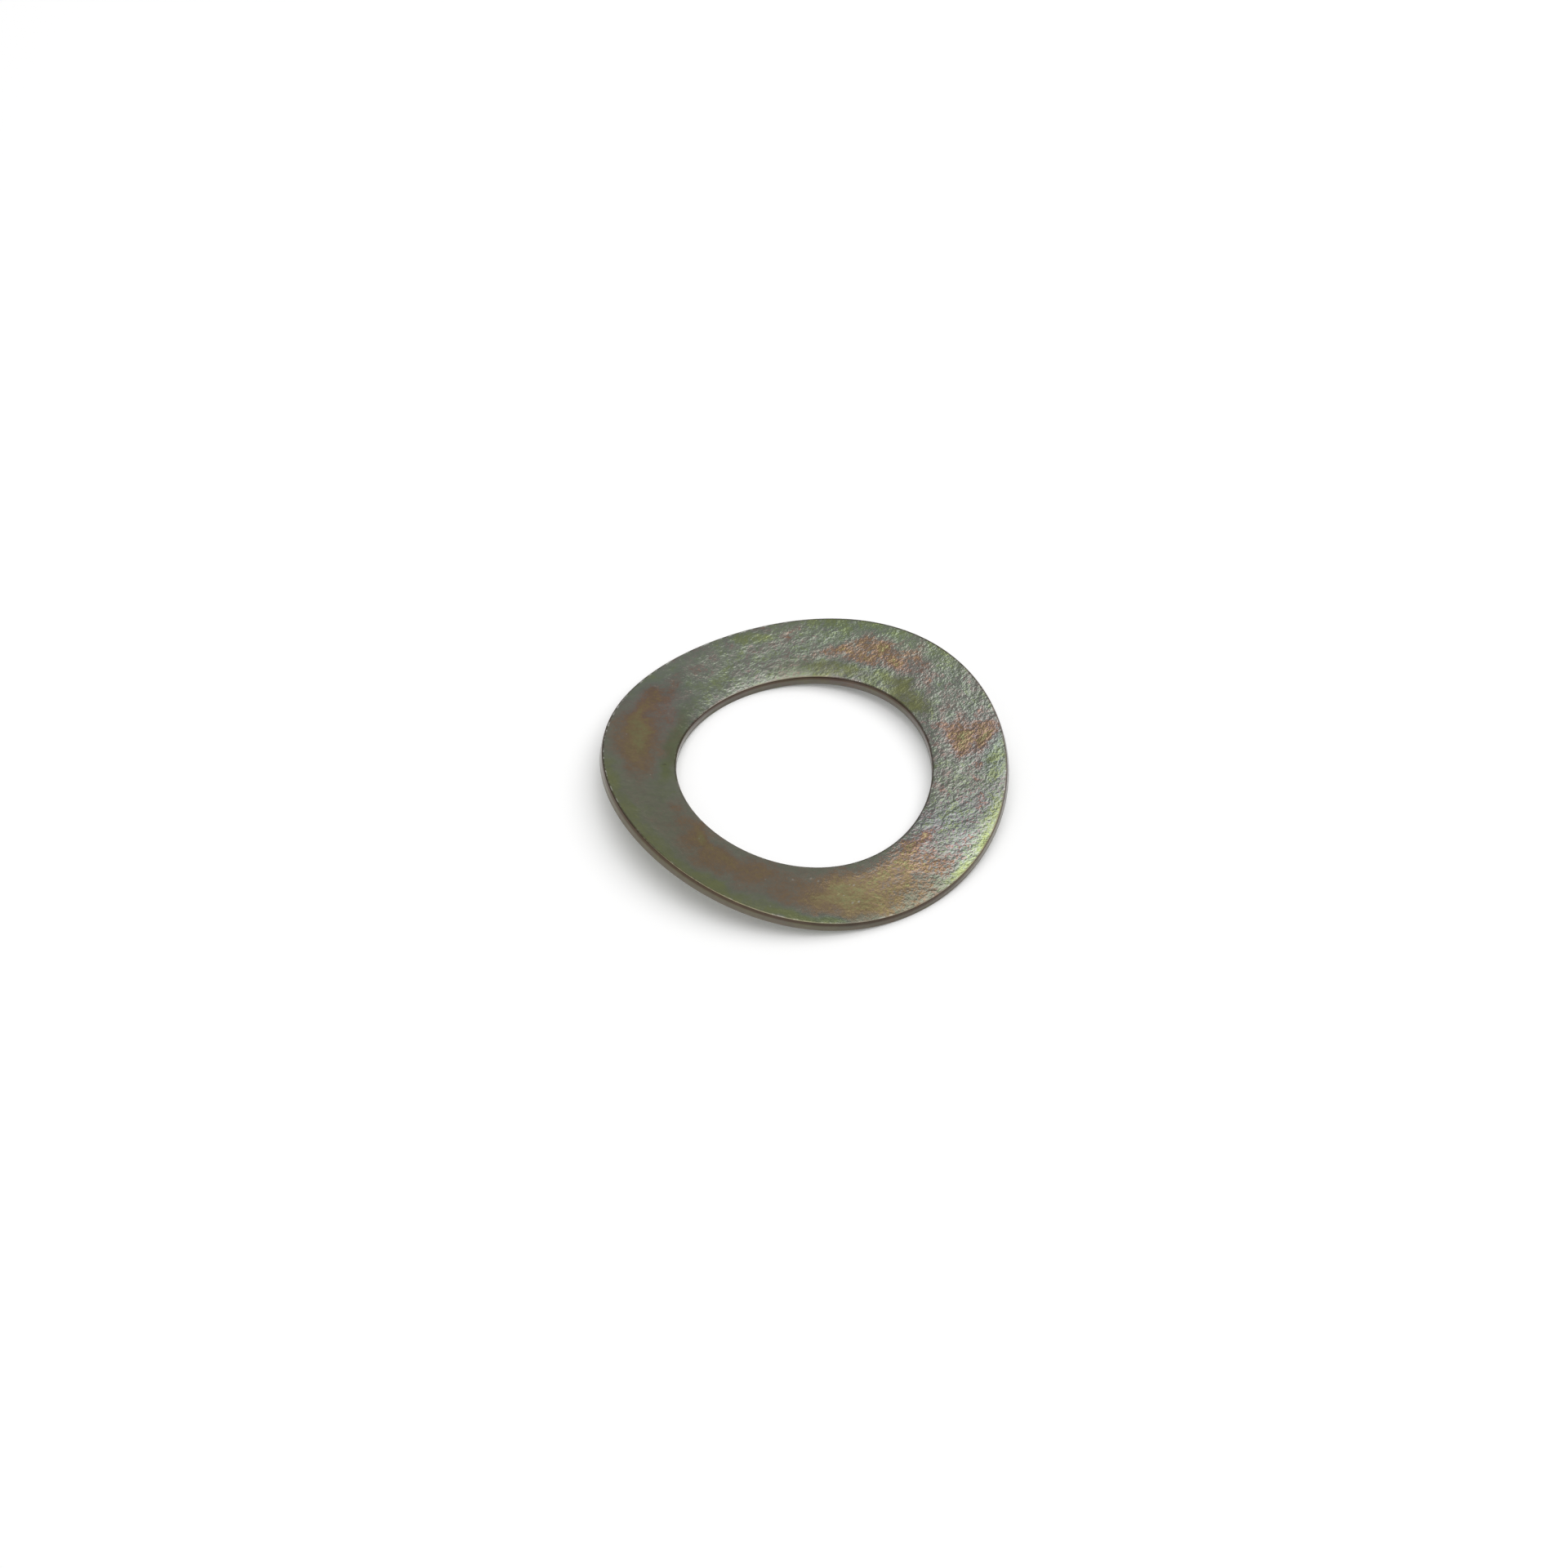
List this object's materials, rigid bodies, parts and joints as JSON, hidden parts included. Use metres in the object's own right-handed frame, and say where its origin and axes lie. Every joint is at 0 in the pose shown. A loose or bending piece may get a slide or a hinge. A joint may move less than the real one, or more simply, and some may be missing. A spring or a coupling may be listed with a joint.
{
  "type": "spring washer",
  "caption": "Thin curved spring washer: a round ring of spring strip pressed to a gentle bend, with a plain round bore and rolled-over rims.",
  "frame": {"origin": "centre of the ring on the plane it rests on", "axes": "+Z along the bore's axis, towards the hollow side and the raised ends; Y along the low line it rests on; X towards the raised ends"},
  "size_m": [0.0256, 0.026, 0.0031],
  "materials": {
    "washer": "yellow passivated zinc over spring steel, iridescent, with a fine hammered grain"
  },
  "bodies": {
    "root": {"washer": "washer"}
  },
  "joints": []
}
